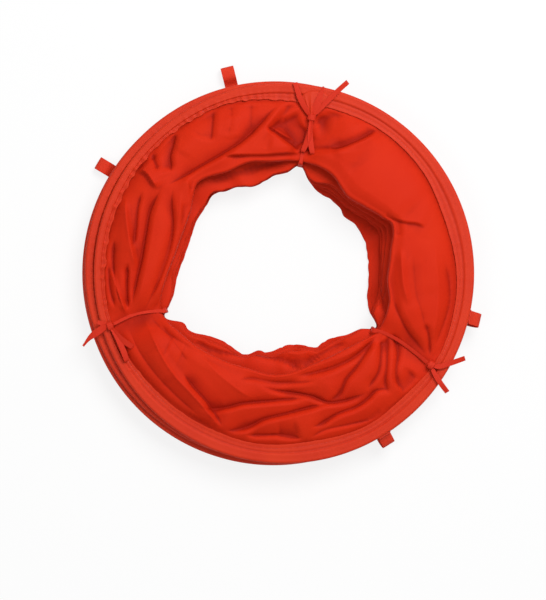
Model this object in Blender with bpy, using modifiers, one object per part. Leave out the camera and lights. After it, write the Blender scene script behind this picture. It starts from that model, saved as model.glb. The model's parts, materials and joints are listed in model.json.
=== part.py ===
"""Dog agility tunnel, packed flat and tied.

Seven spring-steel wire hoops, each closed by a crimped ferrule and sewn into a folded tape casing, are
joined by six spans of thin cloth. Packed, the hoops lie in a low stack and each span folds inwards into
a flat V, so the bundle is a ring with a rounded three-cornered hole. Three tape ties hold it: a tape from
hoop 1 runs in under the bundle, up through the hole and out over the front cloth, where it is tied in a
bow. Webbing loops on both end hoops take ground pegs.

Metres, +Z up. The tunnel's axis is Z and hoop 1 lies on the floor.
"""

import math

import bmesh
import bpy
import numpy as np
from mathutils import Matrix, Vector

# Hoops
HOOP_COUNT = 7
HOOP_RADIUS = 0.300
WIRE_RADIUS = 0.00175
WIRE_END_GAP = 0.0006
FERRULE_LENGTH = 0.024
FERRULE_WALL = 0.0007
FERRULE_CHAMFER = 0.0005
CASING_TAPE = 0.0008
FLANGE_REACH = 0.018
STACK_GAP = 0.0011
FIT_GAP = 0.0003
RING_SIDES = 32
FERRULE_SIDES = 8
# Facets from a hoop's first facet to hoop 1's ferrule, and from one hoop's ferrule to the next one's
FERRULE_FIRST = 5
FERRULE_TURN = 9
MERGE = 0.00005
# How far each hoop lies off the middle of the stack, hoop 1 first
HOOP_SHIFTS = (
    (0.001, 0.006),
    (-0.003, 0.002),
    (-0.006, -0.005),
    (-0.010, 0.002),
    (-0.007, -0.003),
    (-0.004, 0.005),
    (0.011, 0.001),
)

# Cloth spans
CLOTH = 0.0010
CLOTH_EDGE_STOP = 0.0065
CLOTH_MOUTH = 0.0015
FOLD_PITCH = 0.0100
FOLD_FLOOR = 0.0015
FOLD_SPACE = 0.0015
FOLD_NOSE = 0.005
FOLD_RIPPLE = 0.0012
FOLD_WAVES = 5
FOLD_PHASE = 2.1
LOWER_SETBACK = 0.010
LOWER_WAVES = 2
LOWER_PHASE = 1.7
TIE_PINCH = 14.0
EDGE_RIPPLE = 0.0025
EDGE_WAVES = 11
PUFF_HEIGHT = 0.022
PUFF_NOSE = 0.45
PUFF_START = 14.0
PLEAT_HEIGHT = 0.004
PLEAT_SPACING = 13.0
PLEAT_FADE = 18.0
# Rows of the front cloth between the casing and the fold: share of the way in, share of the puff's height
PUFF_ROWS = ((0.16, 0.72), (0.60, 1.0))
# Where the front cloth folds back: angle in degrees, radius
FRONT_OUTLINE = (
    (12, 0.181),
    (23, 0.194),
    (37, 0.172),
    (48, 0.164),
    (62, 0.176),
    (78, 0.178),
    (92, 0.173),
    (104, 0.178),
    (116, 0.177),
    (131, 0.186),
    (144, 0.168),
    (158, 0.161),
    (170, 0.163),
    (182, 0.173),
    (198, 0.190),
    (212, 0.176),
    (223, 0.168),
    (235, 0.160),
    (252, 0.154),
    (270, 0.157),
    (292, 0.151),
    (310, 0.156),
    (322, 0.168),
    (330, 0.179),
    (346, 0.180),
    (357, 0.172),
)
# The hole that the folds below it leave
HOLE_OUTLINE = (
    (15, 0.151),
    (40, 0.144),
    (60, 0.151),
    (78, 0.178),
    (92, 0.154),
    (112, 0.151),
    (140, 0.156),
    (165, 0.153),
    (186, 0.163),
    (198, 0.190),
    (213, 0.163),
    (232, 0.136),
    (255, 0.130),
    (285, 0.117),
    (312, 0.141),
    (330, 0.179),
    (350, 0.149),
)
CLOTH_SHARP = 70
LOWER_COLUMNS = 10
FRONT_COLUMNS = 20
LOWER_CROWDING = 0.5
FRONT_CROWDING = 0.7

# Ties
TIE_WIDTH = 0.008
TIE_TAPE = 0.0008
TIE_SEAM = 0.004
TIE_BEND = 0.004
TIE_HOLE_GAP = 0.004
TIE_VALLEY_GAP = 0.0012
TIE_PART_GAP = 0.0006
TIE_PART_DROP = 0.012
TIE_RAMP = 0.014
TIE_BEND_STEPS = 3
KNOT_SIZE = (0.007, 0.0055, 0.0035)
KNOT_SIDES = (10, 6)
KNOT_SHARP = 40
# A free end arches: share of its length, share of the arch
TAIL_ARCH = 0.0022
TAIL_SHAPE = ((0.0, 0.0), (0.25, 0.8), (0.6, 1.0), (1.0, 0.0))
# A bow loop's plies swell between the knot, which holds them at these heights, and its round end
BOW_LOOP_HALF = 0.0030
BOW_ROOTS = (-0.0004, 0.0012)
BOW_SWELL = 0.4
BOW_PLIES = (-0.3, 1.6)
BOW_LIFT = 0.7
# Each tie: angle round the ring, knot's distance in from the hoop's rim, then the directions in degrees
# and lengths of its free tails and its bow loops
TIES = {
    "top": (78.0, 0.048, ((45.0, 0.078), (115.0, 0.058)), ((251.0, 0.050), (266.0, 0.052))),
    "left": (198.0, 0.024, ((216.0, 0.050),), ((301.0, 0.052), (318.0, 0.036))),
    "right": (330.0, 0.018, ((12.0, 0.054), (301.0, 0.048)), ()),
}

# Peg loops
LOOP_WIDTH = 0.021
LOOP_PLY = 0.0012
LOOP_REACH = 0.038
LOOP_SEAM = 0.008
LOOP_SLOT = 0.012
# Where the upper ply reaches its full height, in seam widths
LOOP_RISE = 2.2
LOOP_BEND_STEPS = 4
LOOP_FLOOR_GAP = 0.0002
FRONT_LOOPS = {"right": -13.0, "lower": -58.0}
BACK_LOOPS = {"top": 104.0, "left": 149.0}

# Values that follow from the sizes above
STEP = math.tau / RING_SIDES
FLAT = math.cos(STEP / 2)
FERRULE_BORE = WIRE_RADIUS + FIT_GAP
FERRULE_RADIUS = FERRULE_BORE + FERRULE_WALL
CASING_HALF = FERRULE_RADIUS + 2 * FIT_GAP + CASING_TAPE
CASING_CORNER = CASING_HALF * math.tan(math.radians(22.5))
SLOT_HALF = CLOTH + 1.5 * FIT_GAP
FLANGE_HALF = SLOT_HALF + CASING_TAPE
WIRE_RING = HOOP_RADIUS - CASING_HALF
FLANGE_EDGE = WIRE_RING - FLANGE_REACH
PITCH = 2 * CASING_HALF + STACK_GAP
CLOTH_OFFSET = (CLOTH + FIT_GAP) / 2
TIE_ANGLES = [tie[0] for tie in TIES.values()]
SPAN_COUNT = HOOP_COUNT - 1

# Finishes: base colour, roughness, metallic
RED_CLOTH = ((0.62, 0.028, 0.012), 0.55, 0.0)
RED_TAPE = ((0.66, 0.035, 0.018), 0.65, 0.0)
RED_WEBBING = ((0.60, 0.026, 0.012), 0.75, 0.0)
SPRING_STEEL = ((0.42, 0.42, 0.44), 0.35, 1.0)
ZINC = ((0.62, 0.63, 0.65), 0.40, 1.0)


def clear_scene():
    for obj in list(bpy.data.objects):
        bpy.data.objects.remove(obj, do_unlink=True)


def new_collection(name):
    collection = bpy.data.collections.new(name)
    bpy.context.scene.collection.children.link(collection)
    return collection


def finish(obj, look):
    """Give an object a material of its own."""
    colour, roughness, metallic = look
    material = bpy.data.materials.new(obj.name)
    material.use_nodes = True
    shader = material.node_tree.nodes["Principled BSDF"]
    shader.inputs["Base Color"].default_value = (*colour, 1.0)
    shader.inputs["Roughness"].default_value = roughness
    shader.inputs["Metallic"].default_value = metallic
    obj.data.materials.append(material)


def direction(degrees):
    """Unit vector in the floor's plane."""
    angle = math.radians(degrees)
    return Vector((math.cos(angle), math.sin(angle), 0.0))


def hoop_centre(hoop):
    """Middle of a hoop's wire ring. Hoops count from 0 here."""
    x, y = HOOP_SHIFTS[hoop % len(HOOP_SHIFTS)]
    return Vector((x, y, CASING_HALF + hoop * PITCH))


def reach(hoop, degrees, radius):
    """How far from the middle of the stack a circle about a hoop's centre lies at an angle."""
    out = direction(degrees)
    centre = hoop_centre(hoop)
    along = centre.dot(out)
    across = centre.y * out.x - centre.x * out.y
    return along + math.sqrt(radius**2 - across**2)


def tie_distance(degrees):
    """Degrees to the nearest tie."""
    return min(abs((degrees - tie + 180.0) % 360.0 - 180.0) for tie in TIE_ANGLES)


def solidify(obj, thickness, offset, even=True):
    shell = obj.modifiers.new("Thickness", "SOLIDIFY")
    shell.thickness = thickness
    shell.offset = offset
    shell.use_even_offset = even


def smooth(mesh, degrees):
    mesh.shade_smooth()
    mesh.set_sharp_from_angle(angle=math.radians(degrees))


def profile_object(name, points, closed):
    """A mesh of edges in the XZ plane, for a Screw modifier to turn round Z."""
    mesh = bpy.data.meshes.new(name)
    edges = [(n, n + 1) for n in range(len(points) - 1)]
    if closed:
        edges.append((len(points) - 1, 0))
    mesh.from_pydata([(x, 0.0, z) for x, z in points], edges, [])
    return bpy.data.objects.new(name, mesh)


def turn(obj, sides):
    screw = obj.modifiers.new("Turn", "SCREW")
    screw.axis = "Z"
    screw.angle = math.tau
    screw.steps = sides
    screw.render_steps = sides
    screw.use_merge_vertices = True
    screw.merge_threshold = MERGE


def ribbon(name, path, width, thickness, closed=False):
    """Flat tape whose middle line is drawn in the local XY plane and whose width lies along local Z."""
    curve = bpy.data.curves.new(name, "CURVE")
    curve.dimensions = "2D"
    curve.fill_mode = "NONE"
    curve.extrude = width / 2
    spline = curve.splines.new("POLY")
    spline.points.add(len(path) - 1)
    for point, (x, y) in zip(spline.points, path):
        point.co = (x, y, 0.0, 1.0)
    spline.use_cyclic_u = closed
    obj = bpy.data.objects.new(name, curve)
    solidify(obj, thickness, 0.0)
    return obj


def upright(degrees, origin, droop=0.0):
    """Frame whose X points outwards at an angle, dipping by droop, and whose Y points up."""
    out = direction(degrees)
    up = Vector((0.0, 0.0, 1.0))
    x_axis = out * math.cos(droop) - up * math.sin(droop)
    y_axis = out * math.sin(droop) + up * math.cos(droop)
    frame = Matrix((x_axis, y_axis, x_axis.cross(y_axis))).transposed().to_4x4()
    frame.translation = origin
    return frame


def arc(centre, radius, start, end, steps):
    """Points on a round bend, with angles in degrees."""
    points = []
    for n in range(steps + 1):
        angle = math.radians(start + (end - start) * n / steps)
        points.append((centre[0] + radius * math.cos(angle), centre[1] + radius * math.sin(angle)))
    return points


def make_wire(name):
    """Open ring of spring wire. Its ends meet in the middle of the facet between 0 and STEP."""
    middle = WIRE_RING * FLAT
    tangent = Vector((-math.sin(STEP / 2), math.cos(STEP / 2), 0.0))
    ends = Vector((middle * math.cos(STEP / 2), middle * math.sin(STEP / 2), 0.0))
    points = [ends + tangent * WIRE_END_GAP / 2]
    for n in range(1, RING_SIDES + 1):
        points.append(Vector((WIRE_RING * math.cos(n * STEP), WIRE_RING * math.sin(n * STEP), 0.0)))
    points.append(ends - tangent * WIRE_END_GAP / 2)
    curve = bpy.data.curves.new(name, "CURVE")
    curve.dimensions = "3D"
    curve.bevel_depth = WIRE_RADIUS
    curve.bevel_resolution = 1
    curve.use_fill_caps = True
    spline = curve.splines.new("POLY")
    spline.points.add(len(points) - 1)
    for point, place in zip(spline.points, points):
        point.co = (*place, 1.0)
    return bpy.data.objects.new(name, curve)


def make_ferrule(name):
    """Crimped sleeve over the wire's two ends, turned about its own Z."""
    half = FERRULE_LENGTH / 2
    points = [
        (FERRULE_RADIUS, half - FERRULE_CHAMFER),
        (FERRULE_RADIUS, FERRULE_CHAMFER - half),
        (FERRULE_BORE, -half),
        (FERRULE_BORE, half),
    ]
    obj = profile_object(name, points, closed=True)
    turn(obj, FERRULE_SIDES)
    return obj


def make_casing(name):
    """Tape folded round the wire, its two edges sewn together over the cloth's raw edges."""
    profile = [
        (-FLANGE_REACH, FLANGE_HALF),
        (CASING_CORNER, CASING_HALF),
        (CASING_HALF, CASING_CORNER),
        (CASING_HALF, -CASING_CORNER),
        (CASING_CORNER, -CASING_HALF),
        (-CASING_CORNER, -CASING_HALF),
        (-FLANGE_REACH, -FLANGE_HALF),
    ]
    obj = profile_object(name, [(WIRE_RING + x, z) for x, z in profile], closed=False)
    turn(obj, RING_SIDES)
    solidify(obj, CASING_TAPE, -1.0)
    return obj


def column_angles(per_sector, crowding):
    """Angles of the cloth's columns. Every tie has one, and they lie closer together near the ties."""
    angles = []
    for n, start in enumerate(TIE_ANGLES):
        end = TIE_ANGLES[n + 1] if n + 1 < len(TIE_ANGLES) else TIE_ANGLES[0] + 360.0
        for column in range(per_sector):
            share = column / per_sector
            share -= crowding * math.sin(math.tau * share) / math.tau
            angles.append(start + (end - start) * share)
    return angles


def hole_radius(span, degrees):
    """Where a span's fold ends. The ties pull every fold back to the same corner."""
    front = span == SPAN_COUNT - 1
    outline = np.array(FRONT_OUTLINE if front else HOLE_OUTLINE)
    edge = float(np.interp(degrees % 360.0, outline[:, 0], outline[:, 1], period=360.0))
    free = 1.0 - math.exp(-((tie_distance(degrees) / TIE_PINCH) ** 2))
    turn_angle = math.radians(degrees)
    if front:
        return edge - free * EDGE_RIPPLE * math.sin(EDGE_WAVES * turn_angle)
    wave = math.sin(LOWER_WAVES * turn_angle + LOWER_PHASE * span)
    return edge + free * LOWER_SETBACK * (0.5 + 0.5 * wave)


def fold_level(hoop, degrees):
    """Height between the folds above and below a hoop, at the hole."""
    wave = 0.0
    if 0 < hoop < HOOP_COUNT - 1:
        wave = FOLD_RIPPLE * math.sin(FOLD_WAVES * math.radians(degrees) + FOLD_PHASE * hoop)
    return FOLD_FLOOR + hoop * FOLD_PITCH + wave


def puff_height(degrees):
    """How high the front cloth billows, with pleats that fan out from the ties."""
    distance = tie_distance(degrees)
    billow = PUFF_HEIGHT * (1.0 - math.exp(-((distance / PUFF_START) ** 2)))
    pleat = 0.5 * PLEAT_HEIGHT * (1.0 - math.cos(math.tau * distance / PLEAT_SPACING))
    return billow + pleat * math.exp(-distance / PLEAT_FADE)


def span_section(span, degrees):
    """Middle line of a span's cloth at one angle: in from the lower hoop, round the fold, out again."""
    out = direction(degrees)
    front = span == SPAN_COUNT - 1
    edge, mouth = WIRE_RING - CLOTH_EDGE_STOP, FLANGE_EDGE - CLOTH_MOUTH

    def at(radius, level):
        return out * radius + Vector((0.0, 0.0, level))

    lower = hoop_centre(span).z + CLOTH_OFFSET
    upper = hoop_centre(span + 1).z - CLOTH_OFFSET
    tip = hole_radius(span, degrees)
    puff = puff_height(degrees) if front else 0.0
    low = fold_level(span, degrees) + FOLD_SPACE
    high = fold_level(span + 1, degrees) - FOLD_SPACE + PUFF_NOSE * puff
    rows = [at(reach(span, degrees, edge), lower), at(reach(span, degrees, mouth), lower)]
    rows += [at(tip + FOLD_NOSE, low), at(tip, (low + high) / 2), at(tip + FOLD_NOSE, high)]
    leave = reach(span + 1, degrees, mouth)
    if front:
        for inwards, share in reversed(PUFF_ROWS):
            rows.append(at(leave + (tip + FOLD_NOSE - leave) * inwards, upper + share * puff))
    return rows + [at(leave, upper), at(reach(span + 1, degrees, edge), upper)]


def make_span(name, span, origin):
    """Cloth lofted round the ring from its sections. Each section differs, so the faces are made here."""
    front = span == SPAN_COUNT - 1
    spread = (FRONT_COLUMNS, FRONT_CROWDING) if front else (LOWER_COLUMNS, LOWER_CROWDING)
    cloth = bmesh.new()
    columns = []
    for degrees in column_angles(*spread):
        columns.append([cloth.verts.new(point - origin) for point in span_section(span, degrees)])
    for n, column in enumerate(columns):
        following = columns[(n + 1) % len(columns)]
        for row in range(len(column) - 1):
            cloth.faces.new((column[row], following[row], following[row + 1], column[row + 1]))
    bmesh.ops.recalc_face_normals(cloth, faces=cloth.faces)
    mesh = bpy.data.meshes.new(name)
    cloth.to_mesh(mesh)
    cloth.free()
    smooth(mesh, CLOTH_SHARP)
    obj = bpy.data.objects.new(name, mesh)
    solidify(obj, CLOTH, 0.0, even=False)
    return obj


def loop_outline():
    """Middle line of a peg loop, folded from one webbing strap: X runs along it, Y across its plies."""
    flat = FIT_GAP + LOOP_PLY / 2
    stacked = flat + LOOP_PLY + FIT_GAP
    raised = flat + LOOP_PLY + LOOP_SLOT
    bend = (raised - flat) / 2
    end = LOOP_REACH - LOOP_PLY / 2 - bend
    outline = [(LOOP_PLY / 2, stacked), (LOOP_PLY / 2, flat)]
    outline += arc((end, flat + bend), bend, -90, 90, LOOP_BEND_STEPS)
    outline += [(LOOP_RISE * LOOP_SEAM, raised), (LOOP_SEAM, stacked)]
    return outline


def make_peg_loop(name):
    return ribbon(name, loop_outline(), LOOP_WIDTH, LOOP_PLY, closed=True)


def loop_face(hoop, degrees):
    """Point on the casing's outer face, at mid height, where a peg loop is sewn."""
    return hoop_centre(hoop) + direction(degrees) * HOOP_RADIUS * FLAT


def front_loop_frame(degrees):
    """A loop on the top hoop hangs down beside the stack, from the upper corner of the casing."""
    corner = loop_face(HOOP_COUNT - 1, degrees) + Vector((0.0, 0.0, CASING_CORNER))
    return upright(degrees, corner, math.pi / 2)


def back_loop_frame(degrees):
    """A loop on hoop 1 leans down from the lower corner of the casing until its end meets the floor."""
    corner = loop_face(0, degrees) - Vector((0.0, 0.0, CASING_CORNER))
    droop = math.asin((corner.z + FIT_GAP - LOOP_FLOOR_GAP) / LOOP_REACH)
    return upright(degrees, corner, droop)


def flange_top(hoop, degrees, radius):
    """Height of a casing's upper face at a distance from the stack's middle."""
    slope = (CASING_HALF - FLANGE_HALF) / (FLANGE_REACH + CASING_CORNER)
    along = radius - reach(hoop, degrees, FLANGE_EDGE)
    return hoop_centre(hoop).z + FLANGE_HALF + slope * max(along, 0.0)


def tie_radius(degrees):
    """Distance of the tape's middle from the ring's middle where it rises through the hole."""
    return hole_radius(SPAN_COUNT - 1, degrees) - CLOTH / 2 - TIE_HOLE_GAP - TIE_TAPE / 2


def tie_part_height(degrees):
    """Height in the hole where the back tape ends and the front tape takes over."""
    return fold_level(HOOP_COUNT - 1, degrees) - TIE_PART_DROP


def valley_level(degrees):
    """Middle of the front tape where it lies on the front cloth."""
    fold = fold_level(HOOP_COUNT - 1, degrees) - FOLD_SPACE
    mouth = hoop_centre(HOOP_COUNT - 1).z - CLOTH_OFFSET
    return max(fold, mouth) + CLOTH / 2 + TIE_VALLEY_GAP + TIE_TAPE / 2


def knot_place(degrees, inset):
    """Distance out and height of a knot's middle: on the tape, or on the casing where it reaches that."""
    radius = HOOP_RADIUS - inset
    tape_top = valley_level(degrees) + TIE_TAPE / 2
    casing_top = flange_top(HOOP_COUNT - 1, degrees, radius + KNOT_SIZE[0])
    if radius + KNOT_SIZE[0] < reach(HOOP_COUNT - 1, degrees, FLANGE_EDGE):
        casing_top = tape_top
    return radius, max(tape_top, casing_top) + FIT_GAP + KNOT_SIZE[2]


def make_back_tape(name, degrees):
    """From the seam under hoop 1, in along the floor and up through the hole."""
    level = FIT_GAP + TIE_TAPE / 2
    rise = tie_radius(degrees)
    path = [(reach(0, degrees, FLANGE_EDGE) + TIE_SEAM, level)]
    path += arc((rise + TIE_BEND, level + TIE_BEND), TIE_BEND, 270, 180, TIE_BEND_STEPS)
    path.append((rise, tie_part_height(degrees)))
    return ribbon(name, path, TIE_WIDTH, TIE_TAPE)


def make_front_tape(name, degrees, inset):
    """Up over the fold's edge and out along the valley in the front cloth to the knot."""
    level = valley_level(degrees)
    rise = tie_radius(degrees)
    radius, height = knot_place(degrees, inset)
    end = radius - KNOT_SIZE[0] - FIT_GAP
    path = [(rise, tie_part_height(degrees) + TIE_PART_GAP)]
    path += arc((rise + TIE_BEND, level - TIE_BEND), TIE_BEND, 180, 90, TIE_BEND_STEPS)
    path.append((end - TIE_RAMP, level))
    path.append((end, height - KNOT_SIZE[2] / 2))
    return ribbon(name, path, TIE_WIDTH, TIE_TAPE)


def tail_path(length):
    """A free end of tape: it leaves the knot, arches and comes down a little."""
    return [(share * length, rise * TAIL_ARCH) for share, rise in TAIL_SHAPE]


def bow_loop_path(length):
    """A loop of the bow, with its two plies lying one over the other."""
    bend = BOW_LOOP_HALF
    path = [(0.0, BOW_ROOTS[0]), (BOW_SWELL * length, BOW_PLIES[0] * bend)]
    path += arc((length - bend, BOW_LIFT * bend), bend, -90, 90, TIE_BEND_STEPS)
    path += [(BOW_SWELL * length, BOW_PLIES[1] * bend), (0.0, BOW_ROOTS[1])]
    return path


def as_mesh(obj, frame, collection):
    """A mesh copy of a tape in its place, with its modifiers applied, for a Boolean to join."""
    obj.matrix_world = frame
    collection.objects.link(obj)
    bpy.context.view_layer.update()
    graph = bpy.context.evaluated_depsgraph_get()
    mesh = bpy.data.meshes.new_from_object(obj.evaluated_get(graph))
    welded = bmesh.new()
    welded.from_mesh(mesh)
    bmesh.ops.remove_doubles(welded, verts=welded.verts, dist=MERGE)
    bmesh.ops.recalc_face_normals(welded, faces=welded.faces)
    welded.to_mesh(mesh)
    welded.free()
    copy = bpy.data.objects.new(obj.name, mesh)
    copy.matrix_world = frame
    copy.hide_render = True
    copy.display_type = "WIRE"
    bpy.data.objects.remove(obj, do_unlink=True)
    collection.objects.link(copy)
    return copy


def make_bow(name, degrees, inset, tails, loops, cutters):
    """The knot with its free ends, its loops and the short tape that holds it to the top hoop's seam."""
    radius, height = knot_place(degrees, inset)
    knot_middle = direction(degrees) * radius + Vector((0.0, 0.0, height))
    shape = bmesh.new()
    bmesh.ops.create_uvsphere(shape, u_segments=KNOT_SIDES[0], v_segments=KNOT_SIDES[1], radius=1.0)
    bmesh.ops.scale(shape, verts=shape.verts, vec=KNOT_SIZE)
    mesh = bpy.data.meshes.new(name)
    shape.to_mesh(mesh)
    shape.free()
    smooth(mesh, KNOT_SHARP)
    knot = bpy.data.objects.new(name, mesh)
    knot.matrix_world = Matrix.Translation(knot_middle) @ Matrix.Rotation(math.radians(degrees), 4, "Z")
    pieces = [(turned, tail_path(length), False) for turned, length in tails]
    pieces += [(turned, bow_loop_path(length), True) for turned, length in loops]
    seam = reach(HOOP_COUNT - 1, degrees, FLANGE_EDGE) + TIE_SEAM
    if seam > radius + KNOT_SIZE[0]:
        lands = flange_top(HOOP_COUNT - 1, degrees, seam) + FIT_GAP + TIE_TAPE / 2 - height
        path = [(0.0, 0.0), (KNOT_SIZE[0], lands / 2)]
        path += [(seam - radius - TIE_SEAM, lands), (seam - radius, lands)]
        pieces.append((degrees, path, False))
    for number, (turned, path, closed) in enumerate(pieces):
        tape = ribbon(f"{name}_tape_{number}", path, TIE_WIDTH, TIE_TAPE, closed)
        join = knot.modifiers.new(f"Join {number}", "BOOLEAN")
        join.operation = "UNION"
        join.object = as_mesh(tape, upright(turned, knot_middle), cutters)
    return knot


def box_middle(objects):
    """Middle of the box round the objects, in the floor's plane."""
    graph = bpy.context.evaluated_depsgraph_get()
    places = []
    for obj in objects:
        placed = obj.evaluated_get(graph)
        places += [placed.matrix_world @ vertex.co for vertex in placed.to_mesh().vertices]
        placed.to_mesh_clear()
    places = np.array(places)
    return (places.min(axis=0) + places.max(axis=0)) / 2


def main():
    clear_scene()
    parts = new_collection("dog_agility_tunnel")
    cutters = new_collection("cutters")

    bundle = bpy.data.objects.new("bundle", None)
    parts.objects.link(bundle)
    carriers = []
    for hoop in range(HOOP_COUNT):
        carrier = bpy.data.objects.new(f"hoop_{hoop + 1}_carrier", None)
        carrier.parent = bundle if hoop == 0 else carriers[-1]
        carrier.location = hoop_centre(hoop) - (hoop_centre(hoop - 1) if hoop else Vector())
        parts.objects.link(carrier)
        carriers.append(carrier)
    top = HOOP_COUNT - 1

    def add(obj, hoop, frame, look):
        """Place an object by its frame in the stack, carried by a hoop."""
        obj.parent = carriers[hoop]
        obj.matrix_local = Matrix.Translation(-hoop_centre(hoop)) @ frame
        parts.objects.link(obj)
        finish(obj, look)

    first_loop = {0: BACK_LOOPS["top"], top: FRONT_LOOPS["right"]}
    for hoop in range(HOOP_COUNT):
        facet = math.radians(first_loop.get(hoop, 0.0)) - STEP / 2
        ring = Matrix.Translation(hoop_centre(hoop)) @ Matrix.Rotation(facet, 4, "Z")
        joint_turn = Matrix.Rotation((FERRULE_FIRST + FERRULE_TURN * hoop) * STEP, 4, "Z")
        sleeve = Matrix.Rotation(STEP / 2, 4, "Z") @ Matrix.Translation((WIRE_RING * FLAT, 0.0, 0.0))
        sleeve = sleeve @ Matrix.Rotation(math.pi / 2, 4, "X")
        label = f"hoop_{hoop + 1}"
        add(make_wire(f"{label}_wire"), hoop, ring @ joint_turn, SPRING_STEEL)
        add(make_ferrule(f"{label}_ferrule"), hoop, ring @ joint_turn @ sleeve, ZINC)
        add(make_casing(f"{label}_casing"), hoop, ring, RED_TAPE)

    for span in range(SPAN_COUNT):
        origin = hoop_centre(span)
        cloth = make_span(f"span_{span + 1}_fabric", span, origin)
        add(cloth, span, Matrix.Translation(origin), RED_CLOTH)

    for place, degrees in FRONT_LOOPS.items():
        add(make_peg_loop(f"peg_loop_front_{place}"), top, front_loop_frame(degrees), RED_WEBBING)
    for place, degrees in BACK_LOOPS.items():
        add(make_peg_loop(f"peg_loop_back_{place}"), 0, back_loop_frame(degrees), RED_WEBBING)

    for place, (degrees, inset, tails, loops) in TIES.items():
        upright_here = upright(degrees, Vector())
        label = f"tie_{place}"
        add(make_back_tape(f"{label}_back_tape", degrees), 0, upright_here, RED_WEBBING)
        add(make_front_tape(f"{label}_front_tape", degrees, inset), top, upright_here, RED_WEBBING)
        bow = make_bow(f"{label}_bow", degrees, inset, tails, loops, cutters)
        add(bow, top, bow.matrix_world.copy(), RED_WEBBING)

    bpy.context.view_layer.update()
    middle = box_middle([obj for obj in parts.objects if obj.type != "EMPTY"])
    bundle.location = (-middle[0], -middle[1], 0.0)
    for cutter in cutters.objects:
        cutter.parent = bundle
    bpy.context.view_layer.update()


main()
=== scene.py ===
"""Looks of a dog agility tunnel, packed flat and tied: thin red nylon folded inwards between spring-wire
hoops in puckered tape casings, three tape ties with their bows, and webbing loops for ground pegs.

Metres, +Z up. The tunnel's axis is Z. Angles are in degrees round the stack of hoops, from +X towards +Y.
"""

import json
import math

import bmesh
import bpy
import numpy as np
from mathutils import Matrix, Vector


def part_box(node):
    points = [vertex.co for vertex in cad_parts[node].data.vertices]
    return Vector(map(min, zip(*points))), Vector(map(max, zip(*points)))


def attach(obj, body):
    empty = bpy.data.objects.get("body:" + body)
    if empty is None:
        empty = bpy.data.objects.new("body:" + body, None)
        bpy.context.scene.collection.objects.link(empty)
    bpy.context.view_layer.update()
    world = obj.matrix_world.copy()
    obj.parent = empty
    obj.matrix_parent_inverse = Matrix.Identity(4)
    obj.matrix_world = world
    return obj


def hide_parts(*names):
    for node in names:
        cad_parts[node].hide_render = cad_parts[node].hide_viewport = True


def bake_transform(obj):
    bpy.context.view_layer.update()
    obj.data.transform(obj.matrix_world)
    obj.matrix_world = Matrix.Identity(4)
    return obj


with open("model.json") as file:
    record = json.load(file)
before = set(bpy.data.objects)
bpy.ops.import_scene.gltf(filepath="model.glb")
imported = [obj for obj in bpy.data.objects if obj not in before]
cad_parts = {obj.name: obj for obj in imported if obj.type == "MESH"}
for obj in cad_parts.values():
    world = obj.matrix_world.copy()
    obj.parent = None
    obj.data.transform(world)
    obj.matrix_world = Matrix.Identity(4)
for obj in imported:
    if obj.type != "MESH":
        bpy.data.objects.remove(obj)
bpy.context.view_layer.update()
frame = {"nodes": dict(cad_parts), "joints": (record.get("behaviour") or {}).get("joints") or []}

MILLIMETRE = 0.001

# The photograph's frame: the stack's middle in pixels, a pixel's size at the top hoop, the picture's size
PHOTO_MIDDLE = (277.0, 274.0)
PHOTO_PIXEL = 0.001577
PHOTO_SIZE = (546, 600)

# Hoops and their casings
HOOP_COUNT = 7
SPAN_COUNT = HOOP_COUNT - 1
HOOP_RADIUS = 0.300
CASING_HALF = 0.00415
FLANGE_REACH = 0.018
FLANGE_HALF = 0.0021
FLANGE_ROOT = 0.0042
FLANGE_ROWS = 19
CASING_STEP = 0.0085
CASING_TAPE = 0.0006
# The channel's round part, the shoulder where the tape comes down from it, and the seam along its foot:
# the seam's distance from the wire, its width and its depth
CHANNEL_TURN = 104
CHANNEL_ROWS = 13
SHOULDER_RUN = 0.0022
SHOULDER_LIFT = 0.8
CHANNEL_SEAM = (0.0104, 0.0011, 0.0010)
# Puckers of the tape and scallops of its edge: spacing and width in degrees, the scallops' depth as a share
# of the puckers' height, and heights in metres
PUCKER_PLEATS = (2.4, 0.5)
SCALLOP_PLEATS = (5.0, 1.1)
SCALLOP = 1.3
SCALLOP_LEAST = 0.0006
SCALLOP_WAVE = 0.0011
SLOW_WAVE = 0.0003
HIDDEN_PUCKERS = 0.002
WIRE_RING = HOOP_RADIUS - CASING_HALF
FLANGE_EDGE = WIRE_RING - FLANGE_REACH
CASING_COLUMNS = 720
# Stitches: their distance from the tape's edge, pitch, and a stitch's radius and length. Then how far they
# stand out, as a share of the radius, and the dent that they draw in the tape: a share of its height, metres
STITCH_INSET = 0.0040
STITCH_PITCH = 0.0042
STITCH_SIZE = (0.00035, 0.0029)
STITCH_RISE = 0.4
STITCH_SINK = 0.3
STITCH_DENT = 0.0016
# How far hoop 2 lies off the middle of the stack
SECOND_HOOP_SHIFT = (-0.003, 0.002)

# How much wider the top casing's tape shows than its even width: angle in degrees, metres
TOP_FLANGE = (
    (0, 0.0062), (20, 0.0100), (36, 0.0060), (58, 0.0036), (70, 0.0056), (83, 0.0070), (97, 0.0020),
    (107, -0.0040), (126, -0.0050), (147, -0.0062), (171, -0.0070), (200, -0.0052), (214, 0.0010),
    (226, 0.0050), (245, 0.0076), (262, 0.0050), (280, 0.0078), (300, 0.0036), (313, 0.0058), (330, 0.0010),
    (345, 0.0040),
)

# Height of the top casing's puckers: angle in degrees, metres
PUCKERS = (
    (0, 0.0004), (60, 0.0004), (100, 0.0020), (150, 0.0028), (190, 0.0024), (230, 0.0007), (300, 0.0004),
)

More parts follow.
